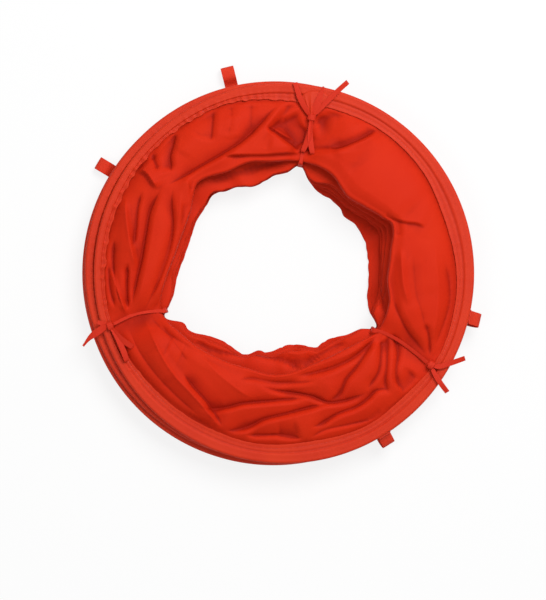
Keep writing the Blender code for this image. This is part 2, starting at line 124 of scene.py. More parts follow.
# Cloth spans
CLOTH_EDGE_STOP = 0.0065
CLOTH_MOUTH = 0.0010
CLOTH_OFFSET = 0.00065
CLOTH_OUTER = WIRE_RING - CLOTH_EDGE_STOP
CLOTH_INNER = FLANGE_EDGE - CLOTH_MOUTH
FOLD_PITCH = 0.0100
FOLD_FLOOR = 0.0015
FOLD_SPACE = 0.0016
FOLD_NOSE = 0.006
NOSE_UNDERCUT = 0.0032
TIE_PINCH = 14.0
LOWER_SETBACK = 0.005
POINT_DEPTH = 0.0014
POINT_PLEATS = (9.0, 1.7)
LOWER_COLUMNS = 1024
LOWER_ROWS = 25
LOWER_CROWDING = 0.8
NOSE_ROWS = 7
EDGE_FOLDS = 17
EDGE_FOLD_DEPTH = 0.0030
LOWER_PLEATS = 130
LOWER_PLEAT_DEPTH = 0.0060
FRONT_COLUMNS = 970
FRONT_PLEATS = 140
FRONT_PLEAT_DEPTH = 0.0072
PUFF_HEIGHT = 0.019
PUFF_START = 7.0
PUFF_RISE = 0.22
PUFF_NOSE = 0.78
FRONT_ROWS = 80
FRONT_CROWDING = 0.9
FRONT_INNER_ROWS = 10
FRONT_NOSE_ROWS = 10
GATHER_HEIGHT = 0.0011
SEAM_GATHERS = (2.4, 0.42)
SEAM_REACH = 0.05
LEAST_RISE = 0.0010
POCKET_DEPTH = 0.0065
WRINKLE_HEIGHT = 0.0003
WRINKLE_SPACING = 0.024
WRINKLE_COUNT = 14

# Where the front cloth folds back, and the hole that the folds below it leave: angle in degrees, radius
FRONT_OUTLINE = (
    (12, 0.181), (23, 0.195), (28, 0.186), (37, 0.172), (48, 0.163), (62, 0.177), (78, 0.180), (92, 0.175),
    (104, 0.179), (116, 0.177), (131, 0.188), (138, 0.176), (144, 0.166), (156, 0.160), (170, 0.162),
    (182, 0.173), (198, 0.190), (212, 0.176), (223, 0.168), (235, 0.160), (252, 0.154), (270, 0.157),
    (292, 0.151), (310, 0.156), (322, 0.168), (330, 0.181), (346, 0.180), (357, 0.172),
)
HOLE_OUTLINE = (
    (0, 0.1445), (10, 0.1448), (20, 0.1462), (28, 0.1458), (34, 0.143), (41, 0.1378), (48, 0.1425),
    (60, 0.1435), (66, 0.148), (72, 0.160), (78, 0.178), (84, 0.164), (92, 0.157), (98, 0.149),
    (106, 0.1455), (115, 0.1535), (122, 0.157), (129, 0.164), (136, 0.1578), (146, 0.155), (158, 0.1495),
    (170, 0.150), (180, 0.157), (186, 0.162), (191, 0.168), (196, 0.1795), (201, 0.192), (207, 0.168),
    (213, 0.163), (222, 0.1425), (233, 0.132), (244, 0.1345), (249, 0.134), (256, 0.1225), (264, 0.1225),
    (276, 0.1135), (285, 0.1155), (292, 0.1225), (298, 0.1325), (305, 0.1315), (312, 0.1365), (320, 0.149),
    (327, 0.160), (332, 0.180), (338, 0.160), (345, 0.149), (353, 0.146),
)

# How far the folds below step back towards the front cloth's edge, from 0 to 1: angle in degrees, share
LOWER_CLIMB = (
    (0, 1.0), (30, 1.0), (60, 0.8), (80, 0.2), (105, 0.0), (140, 0.1), (170, 0.5), (200, 0.5), (240, 0.3),
    (290, 0.3), (325, 0.6), (345, 1.0),
)

# Ties: angle, and radius where the tape comes up through the hole
TIES = {"top": (78.0, 0.1762), "left": (198.0, 0.1845), "right": (330.0, 0.1735)}
TIE_ANGLES = tuple(tie[0] for tie in TIES.values())
TIE_WIDTH = 0.008
TIE_TAPE = 0.0008
TAPE_POINTS = 7
TAPE_SHARP = math.radians(50)
SELVEDGE = 0.35
TIE_SEAM = 0.012
TIE_FLOOR = 0.0008
TIE_PART = 0.0498
TAPE_BEND = 0.0035
TAPE_LEVEL = 0.0614
FRONT_SQUEEZE = 0.32
KNOTS = {"top": (311.5, 118.0, 0.0660), "left": (110.5, 326.0, 0.0684), "right": (430.5, 365.0, 0.0680)}
KNOT_WRAP = (0.0062, 0.0042)
KNOT_TAPE = 0.0080
# Turns of tape that make a knot: angle from the tie's, and its size and width as shares
KNOT_TURNS = (("wrap", 0.0, 1.0, 1.0), ("turn", 62.0, 0.84, 1.0), ("cross", -48.0, 0.66, 1.1))
# Casing cloth gathered by the top knot: its edge at the rim and its neck, in the photograph's pixels
FAN_EDGE = ((301.0, 97.0), (307.0, 92.0), (316.0, 91.0), (326.0, 93.5), (332.0, 99.0))
FAN_NECK = ((309.0, 117.5), (311.5, 118.5), (314.5, 117.0))
FAN_COLUMNS = 73
FAN_ROWS = 19
FAN_PLEATS = 5
FAN_PLEAT_DEPTH = 0.0016
FAN_LEVEL = 0.0652
FAN_RISE = 0.0006
FAN_DROOP = 0.0012
# A bow loop's two plies: share of the loop's length, and height
BOW_PLIES = (
    (0.0, -0.0014), (0.3, -0.0026), (0.7, -0.0028), (0.94, -0.0018), (1.0, 0.0004), (0.93, 0.0026),
    (0.65, 0.0040), (0.3, 0.0026), (0.0, -0.0002),
)
# Tapes of each tie in the photograph's pixels. The front tape on the cloth has millimetres above TAPE_LEVEL.
# The free ends and the seam tape have millimetres above the knot's middle, after the share of the tape's
# width at their end. Each bow loop: its tip, how far it bends aside, and its tilt.
FRONT_TAPES = {
    "top": ((301.5, 158.0, 0.0), (304.5, 146.0, 0.4), (307.5, 133.0, 0.8), (311.0, 121.0, 3.4)),
    "left": ((157.0, 311.0, 0.0), (142.0, 312.5, 0.8), (129.0, 316.5, 1.6), (114.0, 324.0, 5.4)),
    "right": ((382.0, 332.0, 0.0), (398.0, 340.0, 0.8), (413.0, 351.0, 1.4), (427.0, 362.5, 5.4)),
}
TAILS = {
    "top": (
        (1.0, (311, 118, -0.6), (317, 112, 1.2), (327, 102, 2.8), (337, 92, 2.4), (347.7, 82.3, 0.4)),
        (1.0, (311, 118, -0.4), (306, 110, 1.4), (300, 99, 2.6), (297.5, 91, 2.0), (295.0, 83, 1.0)),
        (0.4, (312, 118, -1.2), (314, 112, 0.2), (318, 102, 1.2), (321, 94, 1.0), (323.5, 87, 0.4)),
    ),
    "left": (
        (0.45, (111, 326, -0.6), (104, 328, 1.2), (97, 332.5, 2.2), (90, 338, 1.0), (83.5, 346, -1.6)),
        (0.8, (110, 326, -0.4), (104, 324, 0.4), (98, 322, 0.4)),
    ),
    "right": (
        (1.0, (430, 365, -0.6), (438, 366.5, 1.4), (447, 364, 2.0), (456, 361, 1.2), (464.5, 358, 0.2)),
        (1.0, (430, 365, -0.8), (434, 373, 0.8), (439.5, 382, 1.6), (443.5, 387.5, 0.4), (447, 392, -1.0)),
    ),
}
BOW_LOOPS = {
    "top": (((302.5, 152.0), 0.0032, 38.0), ((312.5, 154.0), -0.0030, -34.0)),
    "left": (((133.5, 347.0), -0.0030, 30.0), ((127.0, 361.0), 0.0030, -28.0)),
    "right": (),
}

# Peg loops: each one's angle, how far its tip leans aside, and how much fuller it stands than LOOP_LINE
# from LOOP_SEWN_LEVEL on. The corner of the casing that it is sewn to is its hinge's place.
LOOPS = {
    "front_right": (-13.0, -0.005, 1.5),
    "front_lower": (-58.0, -0.004, 1.4),
    "back_top": (104.0, 0.0, 1.0),
    "back_left": (149.0, 0.0, 1.0),
}
LOOP_SEWN_LEVEL = 0.003
FRONT_DROOP = math.pi / 2
BACK_DROOP = 0.055
LOOP_WIDTH = 0.021
LOOP_PLY = 0.0012
LOOP_SEAM = 0.0074
# The box of stitches: where it starts along the loop, and half its width
LOOP_BOX = (0.0012, 0.0088)
LOOP_STITCH_RISE = 0.3
# Middle line of the folded webbing: along the loop, and out from the casing
LOOP_LINE = (
    (0.0006, 0.0009), (0.0100, 0.0009), (0.0220, 0.0010), (0.0300, 0.0012), (0.0350, 0.0036),
    (0.0373, 0.0076), (0.0350, 0.0117), (0.0300, 0.0139), (0.0225, 0.0141), (0.0170, 0.0116),
    (0.0120, 0.0056), (0.0080, 0.0024), (0.0006, 0.0024),
)
LOOP_TIP = 0.0373

# Folds of the front cloth, as lines in the photograph's pixels. A sharp fold: height in millimetres, or depth
# where it is negative, its width on the left and on the right of the line in pixels, and its points. A round
# one: height, width and points. A step is high on the left of its line, or on the right if its height is
# negative.
SHARP_FOLDS = (
    # Top left
    (-5.0, 2.5, 11, (281, 104), (271, 112), (259, 125), (241, 142), (219, 156), (198, 168), (185, 176),
     (166, 187)),
    (3.0, 3, 9, (270, 127), (286, 136), (300, 143)),
    (-2.2, 3, 12, (213, 104), (213, 122), (211, 144)),
    (-1.4, 4, 10, (252, 100), (251, 118), (252, 140)),
    (-3.5, 3, 8, (175, 130), (173, 145), (170, 158), (172, 174)),
    (-2.5, 3, 3, (149, 146), (153, 157), (159, 172)),
    (-1.2, 4, 9, (231, 100), (232, 118), (228, 138)),
    (3.5, 7, 2, (131, 168), (145, 171), (153, 181), (159, 190)),
    (2.0, 2, 5, (187, 178), (190, 194), (191, 208)),
    # Left
    (3.0, 2.5, 6, (125, 196), (128, 226), (132, 249), (137, 272)),
    (-4.5, 3, 7, (164, 186), (157, 197), (150, 212), (146, 234), (142, 257), (137, 280), (133, 300),
     (131, 313)),
    (-3.5, 2.5, 6, (174, 186), (172, 205), (173, 226), (170, 249), (162, 274), (152, 296), (144, 311)),
    (2.5, 2, 5, (181, 188), (181, 215), (179, 245), (172, 272), (160, 296), (149, 311)),
    (-3.0, 2.5, 4, (192, 208), (188, 228), (181, 252), (174, 278), (164, 296), (152, 311)),
    (2.5, 2, 3, (111, 268), (117, 288), (123, 304), (127, 315)),
    (-3.5, 2, 5, (128, 262), (127, 288), (128, 311)),
    (-3.0, 4, 3, (115, 236), (113, 262), (117, 290), (122, 308)),
    (-2.5, 3, 3, (108, 262), (110, 288), (116, 310)),
    (-2.5, 2, 6, (143, 190), (138, 208), (136, 230), (133, 250)),
    # Bottom left
    (3.0, 4, 9, (144, 318), (152, 334), (164, 358), (176, 376), (190, 391), (205, 408), (223, 431)),
    (-3.0, 6, 2, (183, 372), (194, 387), (208, 403), (224, 428)),
    (-1.8, 8, 3, (128, 326), (139, 350), (156, 374), (178, 397), (205, 420)),
    (-2.0, 3, 6, (150, 317), (166, 332), (184, 343), (200, 352)),
    (2.2, 5, 10, (176, 326), (190, 340), (206, 360), (222, 376), (241, 391), (259, 401)),
    (-1.5, 4, 4, (160, 322), (176, 344), (190, 364)),
    # Bottom
    (-5.0, 12, 2.5, (198, 407), (213, 409), (228, 407), (244, 403), (267, 401), (290, 399), (311, 397)),
    (-5.5, 11, 2.5, (222, 431), (234, 430), (248, 427), (264, 419), (284, 414), (311, 407), (334, 402)),
    (-4.0, 8, 2.5, (258, 384), (275, 390), (295, 393), (311, 396), (327, 402), (342, 401), (358, 396),
     (369, 391)),
    (-4.0, 9, 2.5, (308, 428), (322, 423), (337, 414), (355, 407), (367, 399), (377, 390), (392, 388)),
    (-3.5, 7, 2.5, (244, 435), (262, 435), (282, 435), (304, 439)),
    (-2.5, 6, 2.5, (236, 380), (252, 378), (276, 382), (302, 382), (322, 378)),
    (-2.0, 6, 2, (306, 440), (324, 430), (350, 424), (374, 418), (392, 404)),
    # Bottom right, towards the corner of the hole
    (-3.5, 3, 7, (380, 329), (367, 346), (352, 358), (334, 367), (311, 373), (288, 376)),
    (-3.5, 3, 7, (378, 333), (358, 364), (346, 379), (339, 394), (326, 402)),
    (-2.5, 2.5, 4, (382, 331), (381, 352), (378, 372), (366, 390)),
    (-3.0, 2.5, 5, (387, 332), (387, 358), (385, 382), (390, 396)),
    (-2.5, 3, 3, (392, 331), (398, 350), (396, 372), (400, 390)),
    (2.0, 3, 5, (372, 338), (352, 352), (330, 360), (308, 366)),
    # Right
    (-3.5, 6, 2.5, (329, 149), (344, 146), (362, 138), (378, 128)),
    (3.0, 3, 9, (330, 154), (344, 149), (365, 141), (379, 133)),
    (-2.6, 3, 8, (391, 236), (388, 256), (390, 283), (395, 306), (407, 331), (421, 348), (429, 358)),
    (-1.3, 6, 5, (412, 250), (415, 290), (421, 312), (428, 342)),
    (1.2, 4, 6, (434, 244), (437, 280), (437, 310), (431, 346)),
    (-1.5, 4, 4, (444, 258), (449, 284), (449, 306), (440, 332), (433, 352)),
    (-2.0, 2.5, 3, (425, 322), (429, 338), (430, 356)),
    (2.0, 3, 3, (400, 246), (402, 280), (408, 306)),
    (-7.5, 26, 2.0, (266, 126), (276, 133), (286, 140), (300, 150)),
)
ROUND_FOLDS = (
    (4.0, 26, (352, 168), (385, 190), (410, 215)),
    (3.0, 12, (404, 250), (408, 288), (420, 322)),
    (2.0, 12, (424, 236), (428, 262), (430, 296)),
    (2.5, 9, (232, 114), (236, 140)),
    (2.5, 9, (182, 156), (197, 132)),
    (3.0, 9, (268, 144), (296, 150)),
    (2.5, 11, (168, 345), (184, 352)),
    (3.0, 9, (150, 350), (170, 382)),
    (2.5, 8, (236, 394), (290, 392)),
    (2.5, 10, (150, 158), (162, 180)),
    (-9.0, 17, (290, 112), (297, 128), (299, 146)),
    (-14.0, 19, (319, 112), (327, 130), (329, 156)),
    (-9.0, 7, (380, 221), (390, 227), (391, 238)),
    (-6.0, 4, (194, 192), (199, 184)),
    (-6.0, 9, (396, 388), (405, 381), (415, 371)),
    (-3.5, 9, (276, 431), (288, 430), (300, 427)),
)
STEP_FOLDS = (
    (2.6, 7, (384, 216), (402, 222), (416, 224), (426, 228)),
    (-4.5, 7, (304, 154), (290, 154), (264, 156), (244, 156), (219, 157)),
)
# Sharp folds of the cloth that shows below the front cloth's edge, weaker in each span further down
LOWER_FOLDS = (
    (-3.5, 6, 2.5, (192, 340), (210, 350), (230, 354), (248, 356)),
    (-4.0, 8, 2.5, (246, 351), (264, 357), (284, 361), (302, 371)),
    (-3.5, 7, 2.5, (302, 367), (318, 357), (332, 349), (348, 342)),
    (2.5, 4, 5, (280, 350), (296, 354), (312, 352)),
    (-2.6, 3, 6, (203, 181), (222, 177), (244, 170), (268, 164), (292, 160)),
    (-4.5, 6, 3, (381, 222), (380, 255), (382, 290), (386, 320)),
)
FOLD_STEPS = 12
FOLD_FADE = 0.22
SHARP_GAIN = 2.1
ROUND_GAIN = 0.8
FACET = 2.4
FACET_BEND = 1.7
# A narrow groove along each sharp fold that is higher than GROOVE_START: heights in millimetres, and its
# width in pixels
GROOVE = 0.5
GROOVE_START = 1.5
GROOVE_MOST = 2.5
GROOVE_WIDTH = 1.3
FOLD_SHARPEST = 1.1
FLAP_BLEND = 1.2
TIE_NARROWING = 26.0
TIE_NARROWEST = 0.4

# Colours in linear light, and the pitch of two weaves
NYLON = ((0.540, 0.0150, 0.002), (0.610, 0.025, 0.004))
CASING_RED = ((0.540, 0.021, 0.004), (0.635, 0.037, 0.008))
# The dark red of the painted shade in the cloths' folds and hollows
PAINTED_SHADE_RED = (0.260, 0.005, 0.001)
TAPE_RED = ((0.530, 0.017, 0.005), (0.610, 0.030, 0.010))
WEBBING_RED = ((0.600, 0.024, 0.008), (0.690, 0.044, 0.015))
THREAD_RED = ((0.500, 0.016, 0.006), (0.620, 0.030, 0.010))
STEEL = ((0.30, 0.31, 0.33), (0.44, 0.44, 0.45))
ZINC = ((0.52, 0.53, 0.55), (0.70, 0.71, 0.72))
NYLON_PITCH = 0.0011
TWILL_PITCH = 0.0016

# Studio: each lamp's place, size and power
FLOOR_HALF = 6.0
FLOOR_GREY = (0.86, 0.86, 0.86, 1.0)
FLOOR_GLOW = 0.82
ROOM_LIGHT = 0.33
LAMPS = (("key", (1.0, 1.4, 2.7), 1.8, 89.0), ("fill", (-1.0, -0.8, 2.6), 1.6, 15.0))
LAMP_TARGET = (0.0, 0.0, 0.05)
CAMERA_DISTANCE = 3.0

# Places that follow from the frame


def box_middle(node):
    low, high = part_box(node)
    return (np.array(low) + np.array(high)) / 2


HOOPS = [box_middle(f"hoop_{number + 1}_casing") for number in range(HOOP_COUNT)]
TOP = HOOP_COUNT - 1
STACK = HOOPS[1] * (1, 1, 0) - (*SECOND_HOOP_SHIFT, 0.0)
UP = np.array((0.0, 0.0, 1.0))


def ring_degrees(count):
    return np.arange(count) * 360.0 / count


def outwards(degrees):
    """Unit vectors in the floor's plane, one for each angle."""
    turn = np.radians(np.asarray(degrees, float))
    return np.stack([np.cos(turn), np.sin(turn), np.zeros_like(turn)], axis=-1)


def sideways(degrees):
    return outwards(degrees + 90.0)


def reach(hoop, degrees, radius):
    """How far from the stack's middle a circle about a hoop's centre lies."""
    out = outwards(degrees)
    centre = HOOPS[hoop] - STACK
    along = centre[0] * out[..., 0] + centre[1] * out[..., 1]
    across = centre[1] * out[..., 0] - centre[0] * out[..., 1]
    return along + np.sqrt(radius**2 - across**2)


def from_photo(points):
    """Places in the floor's plane of points given in the photograph's pixels."""
    pixels = np.array(points, float)
    x = STACK[0] + (pixels[..., 0] - PHOTO_MIDDLE[0]) * PHOTO_PIXEL
    y = STACK[1] - (pixels[..., 1] - PHOTO_MIDDLE[1]) * PHOTO_PIXEL
    return np.stack([x, y], axis=-1)


def photo_line(points, level):
    """Places of points given in the photograph's pixels and in millimetres above a level."""
    points = np.array(points, float)
    return np.column_stack([from_photo(points[:, :2]), level + points[:, 2] * MILLIMETRE])


def plane_line(degrees, points):
    """Places of points given by their distance from the stack's middle and their height."""
    out = outwards(degrees)
    return np.array([STACK + out * radius + (0.0, 0.0, height) for radius, height in points])


def ring_places(degrees, rows):
    """Places on rings, one for each row's radii and heights."""
    rings = [STACK + outwards(degrees) * radius[:, None] + height[:, None] * UP for radius, height in rows]
    return np.stack(rings, axis=1)


def smoothstep(low, high, value):
    share = np.clip((value - low) / (high - low), 0.0, 1.0)
    return share * share * (3.0 - 2.0 * share)


def swell(start, full, fall, gone, value):
    """Up from 0 to 1 between the first two values, and down again between the last two."""
    return smoothstep(start, full, value) * (1.0 - smoothstep(fall, gone, value))


def bell(distance, width):
    return np.exp(-((distance / width) ** 2))


def degrees_between(degrees, place):
    return np.abs((degrees - place + 180.0) % 360.0 - 180.0)


def near_tie(degrees, width):
    """From 1 at a tie to 0 away from it."""
    return bell(np.min([degrees_between(degrees, tie) for tie in TIE_ANGLES], axis=0), width)


def round_outline(outline, degrees):
    """A smooth closed outline through its points, read at each angle."""
    angles, radii = np.array(outline, float).T
    count = len(angles)
    start = (np.searchsorted(angles, degrees % 360.0, side="right") - 1) % count
    end = (start + 1) % count
    gap = (angles[end] - angles[start]) % 360.0
    share = ((degrees - angles[start]) % 360.0) / gap
    return bent(radii[(start - 1) % count], radii[start], radii[end], radii[(end + 1) % count], share)


def bent(before, first, second, after, share):
    """A place between two points on a smooth curve that also passes the points before and after them."""
    curve = 2 * first + (second - before) * share
    curve = curve + (2 * before - 5 * first + 4 * second - after) * share**2
    return (curve + (3 * first - before - 3 * second + after) * share**3) / 2


def through(points, steps):
    """A smooth line through points, with a number of steps between each two."""
    line = np.array(points, float)
    padded = np.vstack([2 * line[0] - line[1], line, 2 * line[-1] - line[-2]])
    shares = np.arange(steps) / steps
    out = [bent(*padded[n : n + 4], share) for n in range(len(line) - 1) for share in shares]
    return np.array([*out, line[-1]])


def pleat_train(seed, spacing, width, degrees):
    """Small pleats at uneven steps round the ring: a height from 0 to about 1 at each angle."""
    rng = np.random.default_rng(seed)
    places, place = [], 0.0
    while place < 360.0 - spacing / 2:
        places.append(place)
        place += spacing * rng.uniform(0.6, 1.5)
    heights = rng.uniform(0.25, 1.0, len(places))
    widths = width * rng.uniform(0.7, 1.4, len(places))
    pleats = zip(places, heights, widths)
    return sum(height * bell(degrees_between(degrees, middle), spread) for middle, height, spread in pleats)


# Meshes


def add_object(name, data):
    obj = bpy.data.objects.new(name, data)
    bpy.context.scene.collection.objects.link(obj)
    return obj


def metres_along(points):
    steps = np.diff(np.vstack([points, points[:1]]), axis=0)
    return np.concatenate([[0.0], np.cumsum(np.linalg.norm(steps, axis=1))])


def lattice(name, places, round_columns=False, round_rows=False, flip=False):
    """Mesh through a lattice of points, columns by rows. Its UV map, Weave, is in metres."""
    columns, rows = places.shape[:2]
    u, v = metres_along(places[:, rows // 2]), metres_along(places[columns // 3])
    column, row = np.meshgrid(
        np.arange(columns if round_columns else columns - 1),
        np.arange(rows if round_rows else rows - 1),
        indexing="ij",
    )
    column, row = column.ravel(), row.ravel()
    corners = [(column, row), (column + 1, row), (column + 1, row + 1), (column, row + 1)]
    if flip:
        corners.reverse()
    quads = np.stack([(c % columns) * rows + r % rows for c, r in corners], axis=1)
    mesh = bpy.data.meshes.new(name)
    mesh.from_pydata(places.reshape(-1, 3).tolist(), [], quads.tolist())
    uv = np.stack([np.stack([u[c], v[r]], axis=1) for c, r in corners], axis=1)
    mesh.uv_layers.new(name="Weave").data.foreach_set("uv", uv.astype(np.float32).ravel())
    mesh.shade_smooth()
    return add_object(name, mesh)


def thicken(obj, thickness, offset):
    shell = obj.modifiers.new("Thickness", "SOLIDIFY")
    shell.thickness, shell.offset = thickness, offset


def crease_depth(height, steps, depth):
    """How far each point lies below those around it, from 0 to 1."""
    around = np.zeros_like(height)
    for step in steps:
        around += np.roll(height, step, axis=0) + np.roll(height, -step, axis=0)
        padded = np.pad(height, ((0, 0), (step, step)), mode="edge")
        around += padded[:, : -2 * step] + padded[:, 2 * step :]
    return np.clip((around / (4 * len(steps)) - height) / depth, 0.0, 1.0)


def mark_painted_crease_shade(obj, places):
    """Keeps on a cloth how far each point lies down in a fold or hollow, as painted shade that darkens its
    colour there.
    """
    height = places[..., 2]
    # Painted shade from fine and wider folds, and on the front span from broad hollows too
    depth = 0.5 * crease_depth(height, (1, 2, 3), 0.0006) + 0.3 * crease_depth(height, (4, 7, 10), 0.0022)
    if places.shape[1] > FRONT_ROWS:
        depth = np.minimum(depth + 0.6 * crease_depth(height, (12, 17, 22), 0.0060), 1.0)
    layer = obj.data.attributes.new("PaintedCreaseShade", "FLOAT", "POINT")
    layer.data.foreach_set("value", depth.astype(np.float32).ravel())


def tape(name, line, across=None, width=TIE_WIDTH, thickness=TIE_TAPE, twist=(0.0, 0.0), closed=False):
    """Flat woven tape along a line of points, lying flat unless the way across it is given, and twisted
    from one number of degrees to another. Its width may be a number for each point."""
    line = np.array(line, float)
    width = np.broadcast_to(width, len(line))[:, None]
    if closed:
        tangent = np.roll(line, -1, axis=0) - np.roll(line, 1, axis=0)
    else:
        tangent = np.gradient(line, axis=0)
    tangent /= np.linalg.norm(tangent, axis=1, keepdims=True)
    if across is None:
        across = np.cross(UP, tangent)
    across = across - tangent * np.sum(across * tangent, axis=1, keepdims=True)
    across /= np.linalg.norm(across, axis=1, keepdims=True)
    face = np.cross(tangent, across)
    roll = np.radians(np.linspace(*twist, len(line)))[:, None]
    across, face = across * np.cos(roll) + face * np.sin(roll), face * np.cos(roll) - across * np.sin(roll)
    section = [(share, 1.0 - SELVEDGE * (abs(share) > 0.99)) for share in np.linspace(-1.0, 1.0, TAPE_POINTS)]
    section += [(share, -height) for share, height in reversed(section)]
    rows = [line + across * share * width / 2 + face * height * thickness / 2 for share, height in section]
    obj = lattice(name, np.stack(rows, axis=1), round_columns=closed, round_rows=True)
    shape = bmesh.new()
    shape.from_mesh(obj.data)
    if not closed:
        bmesh.ops.holes_fill(shape, edges=[edge for edge in shape.edges if edge.is_boundary], sides=0)
    bmesh.ops.recalc_face_normals(shape, faces=shape.faces)
    shape.to_mesh(obj.data)
    shape.free()
    obj.data.set_sharp_from_angle(angle=TAPE_SHARP)
    return obj


def joined(name, objects):
    """One object from several loose ones."""
    whole = bmesh.new()
    for obj in objects:
        whole.from_mesh(obj.data)
        bpy.data.objects.remove(obj, do_unlink=True)
    mesh = bpy.data.meshes.new(name)
    whole.to_mesh(mesh)
    whole.free()
    return add_object(name, mesh)


def place_piece(obj, body, node=None, material=None):
    """Puts a piece on its body, in place of a node where one is named."""
    if material:
        obj.data.materials.append(material)
    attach(obj, body)
    if node:
        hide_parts(node)


# Shader maths


class Field:
    """A shader value. Python's operators on it add Math nodes."""

    def __init__(self, look, socket):
        self.look, self.socket = look, socket

    def maths(self, operation, other):
        return self.look.node("Math", {"operation": operation}, {0: self, 1: other})

    def __add__(self, other):
        return self.maths("ADD", other)

    def __mul__(self, other):
        return self.maths("MULTIPLY", other)

    __radd__, __rmul__ = __add__, __mul__


class Look:
    """A material under construction. Its noises follow the object's own coordinates."""

    def __init__(self, name):
        self.material = bpy.data.materials.new(name)
        self.material.use_nodes = True
        self.tree = self.material.node_tree
        self.shader = self.tree.nodes["Principled BSDF"]
        self.place = self.node("TexCoord", output=3)

    def put(self, socket, value):
        if isinstance(value, Field):
            self.tree.links.new(value.socket, socket)
        else:
            socket.default_value = value

    def node(self, kind, settings=None, values=None, output=0):
        node = self.tree.nodes.new("ShaderNode" + kind)
        for key, value in (settings or {}).items():
            setattr(node, key, value)
        for key, value in (values or {}).items():
            self.put(node.inputs[key], value)
        return Field(self, node.outputs[output])

    def set(self, **values):
        for key, value in values.items():
            self.put(self.shader.inputs[key.replace("_", " ")], value)

    def sine(self, value):
        return self.node("Math", {"operation": "SINE"}, {0: value})

    def noise(self, scale, detail=2.0, roughness=0.5):
        values = {"Vector": self.place, "Scale": scale, "Detail": detail, "Roughness": roughness}
        return self.node("TexNoise", None, values)

    def blend(self, share, *colours):
        first, second = [colour if isinstance(colour, Field) else (*colour, 1.0) for colour in colours]
        return self.node("Mix", {"data_type": "RGBA"}, {"Factor": share, 6: first, 7: second}, output=2)

    def relief(self, *layers):
        """Bumps laid one on another: each one's height, its depth in metres and its strength."""
        normal = {}
        for height, depth, strength in layers:
            values = {"Height": height, "Distance": depth, "Strength": strength, **normal}
            normal = {"Normal": self.node("Bump", None, values)}
        self.set(**normal)

    def weave_axes(self):
        place = self.node("UVMap", {"uv_map": "Weave"})
        parts = self.node("SeparateXYZ", None, {0: place}).socket.node
        return Field(self, parts.outputs[0]), Field(self, parts.outputs[1])


def cloth_look(name, colours, patch, crease_shade_strength, rough, specular):
    """A cloth with painted shade that darkens it in its folds and hollows: the look, and the ways along and
    across its weave.
    """
    look = Look(name)
    patches = look.noise(patch, 3.0)
    painted_crease_shade = look.node("Attribute", {"attribute_name": "PaintedCreaseShade"}, output=2)
    # Painted shade: the base colour runs towards a dark red where the cloth lies deep in a fold or hollow.
    look.set(Base_Color=look.blend(painted_crease_shade * crease_shade_strength, look.blend(patches, *colours), PAINTED_SHADE_RED))
    look.set(Roughness=patches * 0.10 + rough, Specular_IOR_Level=specular)
    return (look, *look.weave_axes())


def nylon_look():
    look, along, across = cloth_look("span_nylon", NYLON, patch=14.0, crease_shade_strength=0.8, rough=0.62, specular=0.10)
    turn = math.tau / NYLON_PITCH
    weave = look.sine(along * turn) * look.sine(across * turn) * 0.5 + 0.5
    soft, crinkle = look.noise(38.0), look.noise(120.0, 3.0, 0.6)
    look.relief((soft, 0.0006, 0.5), (crinkle, 0.0003, 0.4), (weave, 0.00006, 0.6))
    return look.material


def casing_look():
    look, along, across = cloth_look(
        "casing_tape_weave", CASING_RED, patch=22.0, crease_shade_strength=0.5, rough=0.54, specular=0.18
    )
    twill = look.sine((along + across * 0.8) * (math.tau / TWILL_PITCH)) * 0.5 + 0.5
    look.relief((look.noise(90.0, 3.0, 0.55), 0.0006, 0.6), (twill, 0.00010, 0.6))
    return look.material


def ribbed_look(name, colours, pitch, depth):
    """Narrow woven tape or webbing with ribs across it and a selvedge grain."""
    look = Look(name)
    along, across = look.weave_axes()
    turn = math.tau / pitch
    grain = look.sine(across * (turn * 0.7)) * look.sine(along * turn * 2.0) * 0.15
    ribs = look.sine(along * turn) * 0.35 + grain + 0.5
    look.set(Base_Color=look.blend(look.noise(60.0, 3.0) * 0.6 + ribs * 0.4, *colours))
    look.set(Roughness=0.66, Specular_IOR_Level=0.15)
    look.relief((look.noise(900.0), 0.0002, 0.4), (ribs, depth, 0.8))
    return look.material


def thread_look():
    look = Look("sewing_thread")
    twist = look.noise(1800.0, 1.0)
    look.set(Base_Color=look.blend(twist, *THREAD_RED), Roughness=0.40)
    look.relief((twist, 0.0001, 0.5))
    return look.material


def metal_look(name, colours, grain, stain, rough, relief):
    """Bare metal with a grain. Its colour follows a stain, or the grain where no stain is given."""
    look = Look(name)
    grains = look.noise(grain, 4.0, 0.6)
    stains = look.noise(stain, 3.0) if stain else grains
    look.set(Base_Color=look.blend(stains, *colours), Metallic=1.0, Roughness=grains * rough[1] + rough[0])
    look.relief((grains, *relief))
    return look.material


# Casings


def casing_section():
    """The sewn casing's section, from the upper ply's edge round the wire to the lower ply's edge.

    Gives each point's way out from the wire, its height and how much the puckers move it."""
    flat = np.linspace(-FLANGE_REACH, -FLANGE_ROOT, FLANGE_ROWS)
    rise = SHOULDER_LIFT * smoothstep(-CASING_STEP - SHOULDER_RUN, -CASING_STEP, flat)
    upper = [(x, FLANGE_HALF + (CASING_HALF - FLANGE_HALF) * lift) for x, lift in zip(flat, rise)]
    turn = np.radians(np.linspace(CHANNEL_TURN, -CHANNEL_TURN, CHANNEL_ROWS))
    bend = [(CASING_HALF * math.cos(t), CASING_HALF * math.sin(t)) for t in turn]
    points = np.array(upper + bend + [(x, -z) for x, z in reversed(upper)])
    puckered = 1.0 - smoothstep(-CASING_STEP - 0.003, -FLANGE_ROOT * 0.4, points[:, 0])
    return points, puckered


def flange_extra(hoop, degrees):
    return round_outline(TOP_FLANGE, degrees) if hoop == TOP else 0.0 * degrees


